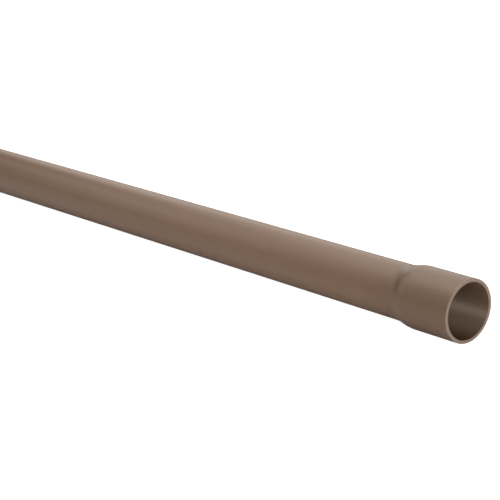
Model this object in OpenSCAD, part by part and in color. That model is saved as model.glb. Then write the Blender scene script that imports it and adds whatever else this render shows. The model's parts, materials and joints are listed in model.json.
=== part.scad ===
// Solvent-weld water pipe: one extruded length of PVC with a socket formed on one end.
// It lies along X. The socket's mouth is at the origin and faces +X.

/* [Barrel] */
// Overall length, from the socket's mouth to the plain end
pipe_length = 3000; // [500:100:6000]
// Outside diameter of the barrel, which is the pipe's nominal size
barrel_od = 50; // [32:1:63]
// Wall thickness, the same along barrel, shoulder and socket
wall = 3; // [2:0.1:3.6]

/* [Socket] */
// Straight depth of the socket, where the next pipe's plain end sits
socket_depth = 50; // [30:1:80]
// Play on the diameter between the socket and a plain end
socket_play = 0.3; // [0.1:0.1:0.6]
// Length of the shoulder for each millimetre that the socket stands out from the barrel
shoulder_run = 7; // [4:0.5:12]

/* [Ends] */
// Radius that eases the mouth's outside edge
mouth_radius = 0.3; // [0.2:0.1:1]
// Bevel round the outside of the plain end
end_bevel = 0.8; // [0.2:0.1:1.4]

/* [Hidden] */
$fn = 128;

pvc_brown = [0.47, 0.38, 0.33];

barrel_r = barrel_od / 2;
bore_r = barrel_r - wall;
socket_r = (barrel_od + socket_play) / 2;
socket_outer_r = socket_r + wall;

// The shoulder is two tangent bends of one radius. The wall first turns in towards
// the axis, then back out by the same angle, so it keeps its thickness all the way.
rise = socket_outer_r - barrel_r;
shoulder_length = shoulder_run * rise;
bend_angle = 2 * atan(1 / shoulder_run);
bend_r = shoulder_length / (2 * sin(bend_angle));

// Places along the axis, measured from the mouth
socket_root = -socket_depth;
shoulder_end = socket_root - shoulder_length;
plain_end = -pipe_length;

// The profiles below are in the half plane [distance from the axis, place along it].

// A slice of a ring that bends the wall round a centre, from one angle to another
module bent_wall(centre, inner_radius, from_angle, to_angle) {
    reach = 2 * (inner_radius + wall);
    translate(centre)
        intersection() {
            difference() {
                circle(r = inner_radius + wall);
                circle(r = inner_radius);
            }
            polygon([
                [0, 0],
                reach * [cos(from_angle), sin(from_angle)],
                reach * [cos(to_angle), sin(to_angle)]
            ]);
        }
}

// The sharp waste between a square corner and the quarter round inside it
module corner_waste(radius) {
    difference() {
        square(2 * radius);
        circle(r = radius);
    }
}

// Straight wall of the socket, with its mouth's outside edge eased
module socket_profile() {
    difference() {
        translate([socket_r, socket_root]) square([wall, socket_depth]);
        translate([socket_outer_r - mouth_radius, -mouth_radius]) corner_waste(mouth_radius);
    }
}

// S-curve between socket and barrel
module shoulder_profile() {
    bent_wall([socket_outer_r - bend_r, socket_root], bend_r - wall, -bend_angle, 0);
    bent_wall([barrel_r + bend_r, shoulder_end], bend_r, 180 - bend_angle, 180);
}

// Straight wall of the barrel, bevelled where it enters the next socket
module barrel_profile() {
    polygon([
        [bore_r, shoulder_end],
        [bore_r, plain_end],
        [barrel_r - end_bevel, plain_end],
        [barrel_r, plain_end + end_bevel],
        [barrel_r, shoulder_end]
    ]);
}

module pipe() {
    color(pvc_brown)
        rotate([0, 90, 0])
            rotate_extrude() {
                socket_profile();
                shoulder_profile();
                barrel_profile();
            }
}

pipe();
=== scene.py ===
import json
import math

import bmesh
import bpy
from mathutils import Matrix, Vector


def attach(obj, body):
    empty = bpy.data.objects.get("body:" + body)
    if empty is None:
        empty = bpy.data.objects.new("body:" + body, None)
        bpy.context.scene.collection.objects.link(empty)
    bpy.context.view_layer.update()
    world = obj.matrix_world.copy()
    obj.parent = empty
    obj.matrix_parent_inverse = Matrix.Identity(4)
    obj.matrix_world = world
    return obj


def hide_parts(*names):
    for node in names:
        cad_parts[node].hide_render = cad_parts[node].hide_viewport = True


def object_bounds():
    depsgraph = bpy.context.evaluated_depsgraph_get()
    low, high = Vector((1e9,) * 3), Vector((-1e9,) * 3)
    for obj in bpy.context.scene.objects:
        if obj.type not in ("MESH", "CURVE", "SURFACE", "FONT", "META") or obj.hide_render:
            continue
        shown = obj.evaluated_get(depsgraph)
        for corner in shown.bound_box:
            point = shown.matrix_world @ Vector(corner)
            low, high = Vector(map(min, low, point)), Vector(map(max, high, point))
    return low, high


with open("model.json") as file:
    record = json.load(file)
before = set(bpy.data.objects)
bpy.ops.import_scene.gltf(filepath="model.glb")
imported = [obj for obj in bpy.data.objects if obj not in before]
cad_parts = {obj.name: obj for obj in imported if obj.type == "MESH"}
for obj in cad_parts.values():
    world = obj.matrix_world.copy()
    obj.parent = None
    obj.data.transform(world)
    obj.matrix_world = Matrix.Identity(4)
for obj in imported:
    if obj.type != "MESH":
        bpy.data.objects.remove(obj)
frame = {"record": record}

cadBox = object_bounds()
mountSizes = {mount["name"]: mount["dims"] for mount in frame["record"]["mounts"]}
print("frame: a pipe", round(cadBox[1].x - cadBox[0].x, 3), "m long")


# The pipe's wall. Its sizes are the imported model's, and these are the choices left, given here.
pipeWall = {
    "roundSteps": 192,      # faces round the pipe
    "bendSteps": 10,        # faces along each of the shoulder's two bends
    "socketSteps": 4,       # faces along the socket
    "barrelSteps": 48,      # faces along the barrel
    "holdingLoop": 0.0012,  # a ring this close to each bend keeps the straights shaded straight
    "mouthEase": 0.0003,    # radius on the mouth's outside edge
    "mouthEaseSteps": 4,
    "boreEase": 0.00015,    # radius on the inside edge of both ends
    "boreEaseSteps": 3,
    "endBevel": 0.0008,     # bevel round the outside of the plain end
    "sawnRim": 0.00006,     # a ring this wide keeps the sawn faces shaded flat
    "cornerAngle": 30,      # degrees; a steeper edge is shaded as a corner
    "sawnFrom": 0.6,        # a face whose normal runs along the pipe by more than this is sawn
    "flatFrom": 0.99,       # and by more than this it is flat enough to take the sawn rim
    # how far out of square the formed end is left, in degrees at places along the pipe
    "leans": ((-0.110, 0.0), (-0.080, -1.2), (-0.045, -1.2), (-0.020, 0.0), (0.0, 1.6)),
}
weldDistance = 1e-6  # points closer than this are one point


def straightOn(bm, tip, x, r, steps=1):
    # carries the outline on from its last point in a straight line, with a holding ring near each
    # of its ends, or a quarter of the way in on a short one
    start, end = tip.co.copy(), Vector((x, 0, r))
    hold = min(pipeWall["holdingLoop"] / (end - start).length, 0.25)
    inner = [hold + (1 - 2 * hold) * step / steps for step in range(steps + 1)]
    for along in inner + [1]:
        tip = bmesh.ops.extrude_vert_indiv(bm, verts=[tip])["verts"][0]
        tip.co = start.lerp(end, along)
    return tip


def bendOn(bm, tip, centre, angle):
    # carries the outline on round a centre; a positive angle turns from +Z towards +X
    bent = bmesh.ops.spin(bm, geom=[tip], cent=(centre[0], 0, centre[1]), axis=(0, 1, 0),
                          angle=angle, steps=pipeWall["bendSteps"])
    return bent["geom_last"][0]


def ringEdges(bm, x, r):
    # the edges of one ring, found by its place along the pipe and its radius
    near = 10 * weldDistance

    def onRing(vert):
        return abs(vert.co.x - x) < near and abs(math.hypot(vert.co.y, vert.co.z) - r) < near
    return [edge for edge in bm.edges if onRing(edge.verts[0]) and onRing(edge.verts[1])]


def bevelRing(bm, x, r, offset, segments):
    bmesh.ops.bevel(bm, geom=ringEdges(bm, x, r), offset=offset, offset_type="OFFSET", segments=segments,
                    profile=0.5, affect="EDGES", material=-1)


def leanAt(x):
    # the lean at one place along the pipe, between the two given places around it
    lean = 0.0
    for (x0, lean0), (x1, lean1) in zip(pipeWall["leans"], pipeWall["leans"][1:]):
        if x0 <= x <= x1 + weldDistance:
            lean = lean0 + (lean1 - lean0) * (x - x0) / (x1 - x0)
    return math.tan(math.radians(lean))


def makePipe():
    end, mouth = cadBox[0].x, cadBox[1].x
    socketInner = mountSizes["socket"]["r_mm"] / 1000
    barrelOuter = mountSizes["plain_end"]["r_mm"] / 1000
    boreInner = mountSizes["waterway"]["r_mm"] / 1000
    socketOuter = socketInner + barrelOuter - boreInner  # the wall is as thick here as on the barrel
    socketRoot = mouth - mountSizes["socket"]["length_mm"] / 1000
    shoulderEnd = end + mountSizes["waterway"]["length_mm"] / 1000

    # the shoulder is two bends of one radius, first in towards the axis and then back
    rise, run = socketOuter - barrelOuter, socketRoot - shoulderEnd
    bend = 2 * math.atan(rise / run)
    bendRadius = run / (2 * math.sin(bend))
    firstCentre = (socketRoot, socketOuter - bendRadius)
    secondCentre = (shoulderEnd, barrelOuter + bendRadius)

    bm = bmesh.new()
    tip = bm.verts.new((mouth, 0, socketOuter))
    tip = straightOn(bm, tip, socketRoot, socketOuter, pipeWall["socketSteps"])
    tip = bendOn(bm, tip, firstCentre, -bend)
    tip = bendOn(bm, tip, secondCentre, bend)
    tip = straightOn(bm, tip, end, barrelOuter, pipeWall["barrelSteps"])
    tip = straightOn(bm, tip, end, boreInner)
    tip = straightOn(bm, tip, shoulderEnd, boreInner, pipeWall["barrelSteps"])
    tip = bendOn(bm, tip, secondCentre, -bend)
    tip = bendOn(bm, tip, firstCentre, bend)
    tip = straightOn(bm, tip, mouth, socketInner, pipeWall["socketSteps"])
    tip = straightOn(bm, tip, mouth, socketOuter)
    bmesh.ops.remove_doubles(bm, verts=bm.verts[:], dist=weldDistance)

    bmesh.ops.spin(bm, geom=bm.verts[:] + bm.edges[:], cent=(0, 0, 0), axis=(1, 0, 0),
                   angle=math.tau, steps=pipeWall["roundSteps"], use_merge=True)
    bmesh.ops.remove_doubles(bm, verts=bm.verts[:], dist=weldDistance)
    bmesh.ops.recalc_face_normals(bm, faces=bm.faces[:])
    bevelRing(bm, mouth, socketOuter, pipeWall["mouthEase"], pipeWall["mouthEaseSteps"])
    bevelRing(bm, end, barrelOuter, pipeWall["endBevel"], 1)
    bevelRing(bm, mouth, socketInner, pipeWall["boreEase"], pipeWall["boreEaseSteps"])
    bevelRing(bm, end, boreInner, pipeWall["boreEase"], pipeWall["boreEaseSteps"])

    sawn = [face for face in bm.faces if abs(face.normal.x) > pipeWall["flatFrom"]]
    bmesh.ops.inset_region(bm, faces=sawn, thickness=pipeWall["sawnRim"], use_boundary=True,
                           use_even_offset=True)

    skin, bore, cut = 0, 1, 2  # the places of the three finishes
    for face in bm.faces:
        face.smooth = True
        middle = face.calc_center_median()
        outward = face.normal.y * middle.y + face.normal.z * middle.z > 0
        sawnHere = abs(face.normal.x) > pipeWall["sawnFrom"]
        face.material_index = cut if sawnHere else skin if outward else bore
    for edge in bm.edges:
        edge.smooth = edge.calc_face_angle(0) < math.radians(pipeWall["cornerAngle"])
    for vert in bm.verts:
        vert.co.x += leanAt(vert.co.x) * vert.co.z

    mesh = bpy.data.meshes.new("pvcPipe")
    bm.to_mesh(mesh)
    bm.free()
    pipe = bpy.data.objects.new("pvcPipe", mesh)
    bpy.context.scene.collection.objects.link(pipe)
    return pipe


pipe = makePipe()
print("pipe wall:", len(pipe.data.polygons), "faces")


# Shader helpers. A node is added with its settings and with values or links for its inputs.
def addNode(tree, kind, inputs=None, **settings):
    node = tree.nodes.new(kind)
    for name, value in settings.items():
        setattr(node, name, value)
    for name, value in (inputs or {}).items():
        if isinstance(value, bpy.types.NodeSocket):
            tree.links.new(value, node.inputs[name])
        else:
            node.inputs[name].default_value = value
    return node


def addMix(tree, share, first, second):
    # a Mix node's colour sockets are its inputs 6 and 7 and its output 2
    mix = addNode(tree, "ShaderNodeMix", {0: share, 6: first, 7: second}, data_type="RGBA")
    return mix.outputs[2]


def addMath(tree, operation, first, second):
    return addNode(tree, "ShaderNodeMath", {0: first, 1: second}, operation=operation).outputs[0]


def addRange(tree, value, low, high, toLow=0.0, toHigh=1.0):
    node = addNode(tree, "ShaderNodeMapRange", {"Value": value, "From Min": low, "From Max": high,
                                                "To Min": toLow, "To Max": toHigh})
    return node.outputs[0]


def addShade(tree, colour, shade):
    # a colour made lighter or darker by a value near 1
    node = addNode(tree, "ShaderNodeVectorMath", {0: colour[:3], "Scale": shade}, operation="SCALE")
    return node.outputs[0]


def addSum(tree, start, *terms):
    # start + value * weight for each (value, weight) given
    total = start
    for value, weight in terms:
        node = addNode(tree, "ShaderNodeMath", {0: value, 1: weight, 2: total},
                       operation="MULTIPLY_ADD")
        total = node.outputs[0]
    return total


def startGroup(name, inputs, outputs):
    group = bpy.data.node_groups.new(name, "ShaderNodeTree")
    for socketName, value in inputs.items():
        socket = group.interface.new_socket(socketName, in_out="INPUT", socket_type="NodeSocketFloat")
        socket.default_value = value
    for socketName in outputs:
        group.interface.new_socket(socketName, in_out="OUTPUT", socket_type="NodeSocketFloat")
    return group, group.nodes.new("NodeGroupInput"), group.nodes.new("NodeGroupOutput")


def placeGroup(tree, group, **values):
    node = tree.nodes.new("ShaderNodeGroup")
    node.node_tree = group
    for name, value in values.items():
        node.inputs[name].default_value = value
    return node


def stretchedNoise(group, alongX, across, detail, roughness=0.5):
    # noise whose features are 1/alongX long down the pipe and 1/across wide round it
    place = addNode(group, "ShaderNodeTexCoord")
    squeeze = addNode(group, "ShaderNodeCombineXYZ", {"X": alongX, "Y": across, "Z": across})
    stretched = addNode(group, "ShaderNodeVectorMath",
                        {0: place.outputs["Object"], 1: squeeze.outputs[0]}, operation="MULTIPLY")
    noise = addNode(group, "ShaderNodeTexNoise", {"Vector": stretched.outputs[0], "Scale": 1.0,
                                                  "Detail": detail, "Roughness": roughness})
    return noise.outputs["Fac"]


def linear(red, green, blue):
    # a colour as a paint chip gives it, from 0 to 255, as shader values
    def channel(value):
        value /= 255
        return value / 12.92 if value <= 0.04045 else ((value + 0.055) / 1.055) ** 2.4
    return (channel(red), channel(green), channel(blue), 1)


# What the marks keep the same in every finish. A span is the stretch of a noise's values that is
# spread from 0 to 1: a wide one looks soft, a narrow one crisp. Noise is in marks to the metre.
marks = {
    "softSpan": (0.30, 0.70),
    "crispSpan": (0.35, 0.65),
    "ringBreaks": 14.0,     # how often the plug's rings break off on their way round
    "scuffEdge": 0.07,      # how soft a scuff's edge is
    "patchAlong": 9.0,      # the patches that are scuffed
    "patchAcross": 30.0,
    "patchSpan": (0.48, 0.62),
    "nicks": 240.0,         # how many nicks make a worn rim ragged, and how deep in metres
    "nickDepth": 0.001,
}


def makeDieLines():
    # fine lengthwise lines that the die draws along the wall, and broad soft streaks under them
    group, given, made = startGroup("dieLines", {"Fine": 1500.0, "Broad": 260.0, "Drift": 1.6},
                                    ("Lines", "Streaks"))
    lines = stretchedNoise(group, given.outputs["Drift"], given.outputs["Fine"], 3.0)
    streaks = stretchedNoise(group, given.outputs["Drift"], given.outputs["Broad"], 2.0)
    group.links.new(addRange(group, lines, *marks["softSpan"]), made.inputs["Lines"])
    group.links.new(addRange(group, streaks, *marks["softSpan"]), made.inputs["Streaks"])
    return group


def makeCompound():
    # the plastic itself: specks of chalk filler, and a slow drift in its tone
    group, given, made = startGroup("compound", {"Grain": 2600.0, "Cloud": 22.0}, ("Specks", "Clouds"))
    specks = stretchedNoise(group, given.outputs["Grain"], given.outputs["Grain"], 2.0)
    clouds = stretchedNoise(group, given.outputs["Cloud"], given.outputs["Cloud"], 4.0, 0.6)
    group.links.new(addRange(group, specks, *marks["crispSpan"]), made.inputs["Specks"])
    group.links.new(addRange(group, clouds, *marks["softSpan"]), made.inputs["Clouds"])
    return group


def placeAlong(group):
    # how far along the pipe a point lies, from the mouth at 0 to the plain end below 0
    place = addNode(group, "ShaderNodeTexCoord")
    return addNode(group, "ShaderNodeSeparateXYZ", {0: place.outputs["Object"]}).outputs["X"]


def makeFormedZone():
    # where the end was heated and pushed over the plug, with the faint rings that this leaves
    group, given, made = startGroup("formedZone", {"Start": 0.0, "End": 0.0, "Pitch": 900.0},
                                    ("Formed", "Rings"))
    formed = addRange(group, placeAlong(group), given.outputs["Start"], given.outputs["End"])
    rings = stretchedNoise(group, given.outputs["Pitch"], marks["ringBreaks"], 2.0)
    group.links.new(formed, made.inputs["Formed"])
    group.links.new(addMath(group, "MULTIPLY", addRange(group, rings, *marks["crispSpan"]), formed),
                    made.inputs["Rings"])
    return group


def makeRubMarks():
    # short thin scuffs from handling and from lying in a stack, most of them lengthwise
    group, given, made = startGroup("rubMarks", {"Along": 28.0, "Across": 1100.0, "Rarity": 0.66},
                                    ("Marks",))
    scuffs = stretchedNoise(group, given.outputs["Along"], given.outputs["Across"], 1.0)
    patches = stretchedNoise(group, marks["patchAlong"], marks["patchAcross"], 2.0)
    rarity = given.outputs["Rarity"]
    thin = addRange(group, scuffs, rarity, addMath(group, "ADD", rarity, marks["scuffEdge"]))
    worn = addRange(group, patches, *marks["patchSpan"])
    group.links.new(addMath(group, "MULTIPLY", thin, worn), made.inputs["Marks"])
    return group


def makeEdgeWear():
    # paler plastic where the rims of the two ends have been knocked and rubbed
    group, given, made = startGroup("edgeWear", {"Mouth": 0.0, "Tail": 0.0, "Reach": 0.0015}, ("Wear",))
    along = placeAlong(group)
    toMouth = addMath(group, "SUBTRACT", given.outputs["Mouth"], along)
    toTail = addMath(group, "SUBTRACT", along, given.outputs["Tail"])
    nearest = addMath(group, "MINIMUM", toMouth, toTail)
    nicks = stretchedNoise(group, marks["nicks"], marks["nicks"], 3.0)
    ragged = addSum(group, nearest, (nicks, marks["nickDepth"]))
    group.links.new(addRange(group, ragged, given.outputs["Reach"], 0.0), made.inputs["Wear"])
    return group


dieLines, compound, formedZone = makeDieLines(), makeCompound(), makeFormedZone()
rubMarks, edgeWear = makeRubMarks(), makeEdgeWear()

# what the skin and the bore share, as one plastic
pvc = {
    "ior": 1.54,
    "shineTint": (1.0, 0.90, 0.77, 1),      # the brown pigment warms the shine a little
    "rubbed": linear(150, 128, 112),        # the tone where it is scuffed or worn
    "relief": 0.5,                          # strength of every bump on the wall
    "formedReach": 0.040,                     # how far the formed end's darker tone and rings reach up the barrel past the shoulder
}
zonePlace = {
    "Start": cadBox[0].x + mountSizes["waterway"]["length_mm"] / 1000 - pvc["formedReach"],
    "End": cadBox[1].x - mountSizes["socket"]["length_mm"] / 1000,
}
wearPlace = {"Mouth": cadBox[1].x, "Tail": cadBox[0].x}


def startMaterial(name):
    material = bpy.data.materials.new(name)
    material.use_nodes = True
    tree = material.node_tree
    shader = tree.nodes["Principled BSDF"]
    return material, tree, shader


def brushShine(tree, shader, finish):
    # fine marks that all run one way spread the shine across them
    roundPipe = addNode(tree, "ShaderNodeTangent", direction_type="RADIAL", axis="X")
    tree.links.new(roundPipe.outputs[0], shader.inputs["Tangent"])
    shader.inputs["Anisotropic"].default_value = finish["brushed"]
    shader.inputs["Anisotropic Rotation"].default_value = finish["brushTurn"]
    shader.inputs["IOR"].default_value = pvc["ior"]
    shader.inputs["Specular IOR Level"].default_value = finish["shine"]
    shader.inputs["Specular Tint"].default_value = pvc["shineTint"]


outerSkin = {
    "tone": linear(98, 72, 56),
    "streak": 0.05,         # how much a streak darkens the tone, and so on
    "cloud": 0.05,
    "speck": 0.04,
    # how much darker the tone grows from the barrel to the socket, darkest over the socket
    "formedDarkening": 0.24,
    "scuffShow": 0.15,      # how much of the rubbed tone shows in a scuff, and on the worn rim
    "wearShow": 0.35,
    "roughness": 0.36,
    "streakRough": 0.06,    # how much rougher a streak is, and a scuff
    "scuffRough": 0.20,
    "brushed": 0.72,
    "brushTurn": 0.0,       # the die's marks run along, so the shine spreads round the pipe
    "shine": 0.68,
    "lineDepth": 0.000010,
    "rubDepth": 0.000015,
}


def makeOuterSkin():
    material, tree, shader = startMaterial("outerSkin")
    lines = placeGroup(tree, dieLines)
    body = placeGroup(tree, compound)
    zone = placeGroup(tree, formedZone, **zonePlace)
    rubs = placeGroup(tree, rubMarks)
    wear = placeGroup(tree, edgeWear, **wearPlace)
    shade = addSum(tree, 1 + (outerSkin["streak"] + outerSkin["cloud"] + outerSkin["speck"]) / 2,
                   (lines.outputs["Streaks"], -outerSkin["streak"]),
                   (body.outputs["Clouds"], -outerSkin["cloud"]),
                   (body.outputs["Specks"], -outerSkin["speck"]),
                   (zone.outputs["Formed"], -outerSkin["formedDarkening"]))
    tone = addShade(tree, outerSkin["tone"], shade)
    rubbed = addSum(tree, 0.0, (rubs.outputs["Marks"], outerSkin["scuffShow"]),
                    (wear.outputs["Wear"], outerSkin["wearShow"]))
    tone = addMix(tree, rubbed, tone, pvc["rubbed"])
    tree.links.new(tone, shader.inputs["Base Color"])
    rough = addSum(tree, outerSkin["roughness"], (lines.outputs["Streaks"], outerSkin["streakRough"]),
                   (rubs.outputs["Marks"], outerSkin["scuffRough"]))
    tree.links.new(rough, shader.inputs["Roughness"])
    grooves = addNode(tree, "ShaderNodeBump", {"Height": lines.outputs["Lines"],
                                               "Strength": pvc["relief"],
                                               "Distance": outerSkin["lineDepth"]})
    dents = addNode(tree, "ShaderNodeBump", {"Height": rubs.outputs["Marks"], "Strength": pvc["relief"],
                                             "Distance": outerSkin["rubDepth"],
                                             "Normal": grooves.outputs["Normal"]}, invert=True)
    tree.links.new(dents.outputs["Normal"], shader.inputs["Normal"])
    brushShine(tree, shader, outerSkin)
    return material


innerBore = {
    # darker than the skin's tone though it is the same plastic: painted shade inside the pipe
    "tone": linear(82, 58, 42),
    "lines": {"Fine": 1100.0, "Broad": 200.0},
    "body": {"Cloud": 30.0},
    "streak": 0.06,
    "cloud": 0.05,
    # darkening over the formed end, which in the bore adds painted shade inside the socket
    "formedDarkening": 0.16,
    "ringTint": 0.04,
    "wearShow": 0.5,        # how much of the rubbed tone shows on the worn rim
    "roughness": 0.53,
    "streakRough": 0.06,
    "ringRough": 0.05,
    "brushed": 0.90,
    "brushTurn": 0.25,      # the plug's marks run round, so the shine spreads along the pipe
    "shine": 1.0,
    "lineDepth": 0.000012,
    "ringDepth": 0.000010,
}


def makeInnerBore():
    material, tree, shader = startMaterial("innerBore")
    lines = placeGroup(tree, dieLines, **innerBore["lines"])
    body = placeGroup(tree, compound, **innerBore["body"])
    zone = placeGroup(tree, formedZone, **zonePlace)
    wear = placeGroup(tree, edgeWear, **wearPlace)
    shade = addSum(tree, 1 + (innerBore["streak"] + innerBore["cloud"]) / 2,
                   (lines.outputs["Streaks"], -innerBore["streak"]),
                   (body.outputs["Clouds"], -innerBore["cloud"]),
                   (zone.outputs["Formed"], -innerBore["formedDarkening"]),
                   (zone.outputs["Rings"], -innerBore["ringTint"]))
    # the bore's darker tone, and its darker formed end, are painted shade inside the pipe
    tone = addShade(tree, innerBore["tone"], shade)
    rubbed = addMath(tree, "MULTIPLY", wear.outputs["Wear"], innerBore["wearShow"])
    tone = addMix(tree, rubbed, tone, pvc["rubbed"])
    tree.links.new(tone, shader.inputs["Base Color"])
    rough = addSum(tree, innerBore["roughness"], (lines.outputs["Streaks"], innerBore["streakRough"]),
                   (zone.outputs["Rings"], innerBore["ringRough"]))
    tree.links.new(rough, shader.inputs["Roughness"])
    grooves = addNode(tree, "ShaderNodeBump", {"Height": lines.outputs["Lines"],
                                               "Strength": pvc["relief"],
                                               "Distance": innerBore["lineDepth"]})
    rings = addNode(tree, "ShaderNodeBump", {"Height": zone.outputs["Rings"], "Strength": pvc["relief"],
                                             "Distance": innerBore["ringDepth"],
                                             "Normal": grooves.outputs["Normal"]})
    tree.links.new(rings.outputs["Normal"], shader.inputs["Normal"])
    brushShine(tree, shader, innerBore)
    return material


sawnFace = {
    "tone": linear(102, 89, 81),
    "body": {"Grain": 3200.0, "Cloud": 90.0},
    "speck": 0.10,
    "saw": 0.10,
    "sawTurn": 24,          # degrees from upright to the saw's strokes
    # marks to the metre into the wall, across the strokes and along them
    "sawStretch": (60.0, 900.0, 40.0),
    "sawSpan": (0.32, 0.68),
    "roughness": 0.58,
    "sawRough": 0.12,
    "sawRelief": 0.6,
    "sawDepth": 0.000030,
}


def makeSawnFace():
    # the saw leaves short straight strokes that all run one way across the cut
    material, tree, shader = startMaterial("sawnFace")
    body = placeGroup(tree, compound, **sawnFace["body"])
    place = addNode(tree, "ShaderNodeTexCoord")
    # turned first and stretched after it, so that the strokes themselves turn
    turned = addNode(tree, "ShaderNodeMapping", {"Vector": place.outputs["Object"],
                                                 "Rotation": (math.radians(sawnFace["sawTurn"]), 0, 0)})
    stretched = addNode(tree, "ShaderNodeVectorMath",
                        {0: turned.outputs[0], 1: sawnFace["sawStretch"]}, operation="MULTIPLY")
    strokes = addNode(tree, "ShaderNodeTexNoise", {"Vector": stretched.outputs[0], "Scale": 1.0,
                                                   "Detail": 3.0})
    saw = addRange(tree, strokes.outputs["Fac"], *sawnFace["sawSpan"])
    shade = addSum(tree, 1 + (sawnFace["speck"] + sawnFace["saw"]) / 2,
                   (body.outputs["Specks"], -sawnFace["speck"]), (saw, -sawnFace["saw"]))
    tree.links.new(addShade(tree, sawnFace["tone"], shade), shader.inputs["Base Color"])
    rough = addSum(tree, sawnFace["roughness"], (saw, sawnFace["sawRough"]))
    tree.links.new(rough, shader.inputs["Roughness"])
    cut = addNode(tree, "ShaderNodeBump", {"Height": saw, "Strength": sawnFace["sawRelief"],
                                           "Distance": sawnFace["sawDepth"]})
    tree.links.new(cut.outputs["Normal"], shader.inputs["Normal"])
    return material


for material in (makeOuterSkin(), makeInnerBore(), makeSawnFace()):
    pipe.data.materials.append(material)
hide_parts("pipe")
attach(pipe, "root")
print("finishes: skin, bore and sawn faces")


studio = {
    "floorSize": 80.0,
    "floorColour": (0.30, 0.30, 0.30, 1),
    "floorRoughness": 0.9,
    "floorGlow": 0.90,      # seen by the camera alone, so that the floor's shadows stay pale
    "floorWash": 5.5,       # even light on the floor alone, in watts per square metre
    "backdrop": 1.0,        # what the camera sees beyond the floor
    "worldLight": 0.02,     # what that backdrop gives the pipe
    "aim": (-0.35, 0, 0),
    "lightColour": (1.0, 0.95, 0.88),  # a warm white
    # each softbox: its place, its width and height, and its power in watts
    "softboxes": {
        "overhead": ((-0.75, 0.2, 2.0), 2.7, 1.2, 38),
        "behind": ((-2.36, 1.79, 1.32), 2.2, 1.8, 24),
        "high": ((-2.06, 0.69, 2.36), 1.6, 0.8, 7),
        "left": ((-2.57, -0.60, 1.93), 1.6, 1.6, 11),
        "leftLow": ((-2.47, -1.78, 1.17), 1.6, 1.6, 9.5),
        "front": ((1.82, -0.95, 0.27), 1.2, 0.5, 48),
        "mouth": ((1.77, 0.0, 1.13), 1.2, 0.6, 21),
        "tail": ((-4.3, 0.55, 0.35), 0.8, 0.6, 14),
    },
}


def makeFloor():
    bm = bmesh.new()
    bmesh.ops.create_grid(bm, x_segments=1, y_segments=1, size=studio["floorSize"] / 2)
    bmesh.ops.translate(bm, verts=bm.verts[:], vec=(0, 0, cadBox[0].z))
    mesh = bpy.data.meshes.new("floor")
    bm.to_mesh(mesh)
    bm.free()
    floor = bpy.data.objects.new("floor", mesh)
    bpy.context.scene.collection.objects.link(floor)
    material, tree, shader = startMaterial("floorPaper")
    shader.inputs["Base Color"].default_value = studio["floorColour"]
    shader.inputs["Roughness"].default_value = studio["floorRoughness"]
    shader.inputs["Specular IOR Level"].default_value = 0.0
    shader.inputs["Emission Color"].default_value = (1, 1, 1, 1)
    rays = addNode(tree, "ShaderNodeLightPath")
    glow = addMath(tree, "MULTIPLY", rays.outputs["Is Camera Ray"], studio["floorGlow"])
    tree.links.new(glow, shader.inputs["Emission Strength"])
    mesh.materials.append(material)
    return floor


def addFloorWash(floor):
    # a dome of light straight down that falls on the floor alone, so it is even out to the horizon
    wash = bpy.data.lights.new("floorWash", "SUN")
    wash.angle = math.pi
    wash.energy = studio["floorWash"]
    wash.color = studio["lightColour"]
    dome = bpy.data.objects.new("floorWash", wash)
    bpy.context.scene.collection.objects.link(dome)
    lit = bpy.data.collections.new("washedFloor")
    lit.objects.link(floor)
    dome.light_linking.receiver_collection = lit


def makeWorld():
    # the backdrop looks white but adds little light, so that the softboxes shape the pipe
    world = bpy.data.worlds.new("studio")
    bpy.context.scene.world = world
    world.use_nodes = True
    tree = world.node_tree
    rays = addNode(tree, "ShaderNodeLightPath")
    sky = tree.nodes["Background"]
    sky.inputs["Color"].default_value = (1, 1, 1, 1)
    strength = addRange(tree, rays.outputs["Is Camera Ray"], 0.0, 1.0, studio["worldLight"],
                        studio["backdrop"])
    tree.links.new(strength, sky.inputs["Strength"])


def addSoftbox(name, place, width, height, power):
    light = bpy.data.lights.new(name, "AREA")
    light.shape = "RECTANGLE"
    light.size, light.size_y = width, height
    light.energy = power
    light.color = studio["lightColour"]
    box = bpy.data.objects.new(name, light)
    box.location = place
    box.rotation_euler = (Vector(studio["aim"]) - Vector(place)).to_track_quat("-Z", "Y").to_euler()
    bpy.context.scene.collection.objects.link(box)


addFloorWash(makeFloor())
makeWorld()
for name, softbox in studio["softboxes"].items():
    addSoftbox(name, *softbox)

shot = {
    "place": (0.79964, -0.91090, 0.37087),
    "pitch": 75.126,  # degrees up from straight down
    "turn": 49.873,   # degrees round to the left of +Y
    "lens": 109.01,
    "sensor": 36.0,
    "nearest": 0.01,  # what is closer or farther than this isn't seen
    "farthest": 60,
}
camera = bpy.data.objects.new("camera", bpy.data.cameras.new("camera"))
camera.location = shot["place"]
camera.rotation_euler = (math.radians(shot["pitch"]), 0, math.radians(shot["turn"]))
camera.data.lens, camera.data.sensor_width = shot["lens"], shot["sensor"]
camera.data.clip_start, camera.data.clip_end = shot["nearest"], shot["farthest"]
bpy.context.scene.collection.objects.link(camera)
bpy.context.scene.camera = camera
bpy.context.scene.view_settings.view_transform = "Standard"
print("studio: a floor,", len(studio["softboxes"]), "softboxes and the camera")
